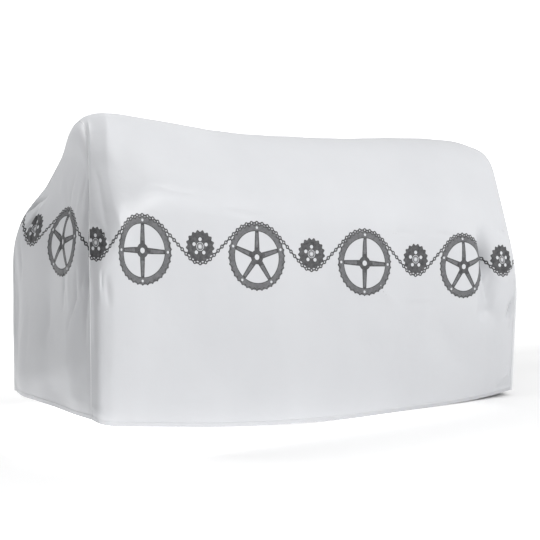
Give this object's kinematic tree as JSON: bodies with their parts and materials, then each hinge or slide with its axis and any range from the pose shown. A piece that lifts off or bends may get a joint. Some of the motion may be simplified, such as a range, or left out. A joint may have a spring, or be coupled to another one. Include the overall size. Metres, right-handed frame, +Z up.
{
  "type": "bicycle cover",
  "caption": "Fitted bicycle cover of thin silver-grey film as it hangs over a bicycle: hollow, open at the bottom, with an end panel welded in at each end and a turned hem.",
  "frame": {"origin": "middle of the cover's box, level with the lowest point of its hem", "axes": "+X from the handlebar end to the rear wheel end, +Y across the cover away from the side that the picture shows, +Z up"},
  "size_m": [1.8896, 0.681, 1.1525],
  "materials": {
    "silver_film": "smooth satin silver-grey film with a printed charcoal frieze and faint creases"
  },
  "bodies": {
    "root": {"body_sheet": "silver_film", "front_panel": "silver_film", "rear_panel": "silver_film"}
  },
  "joints": []
}
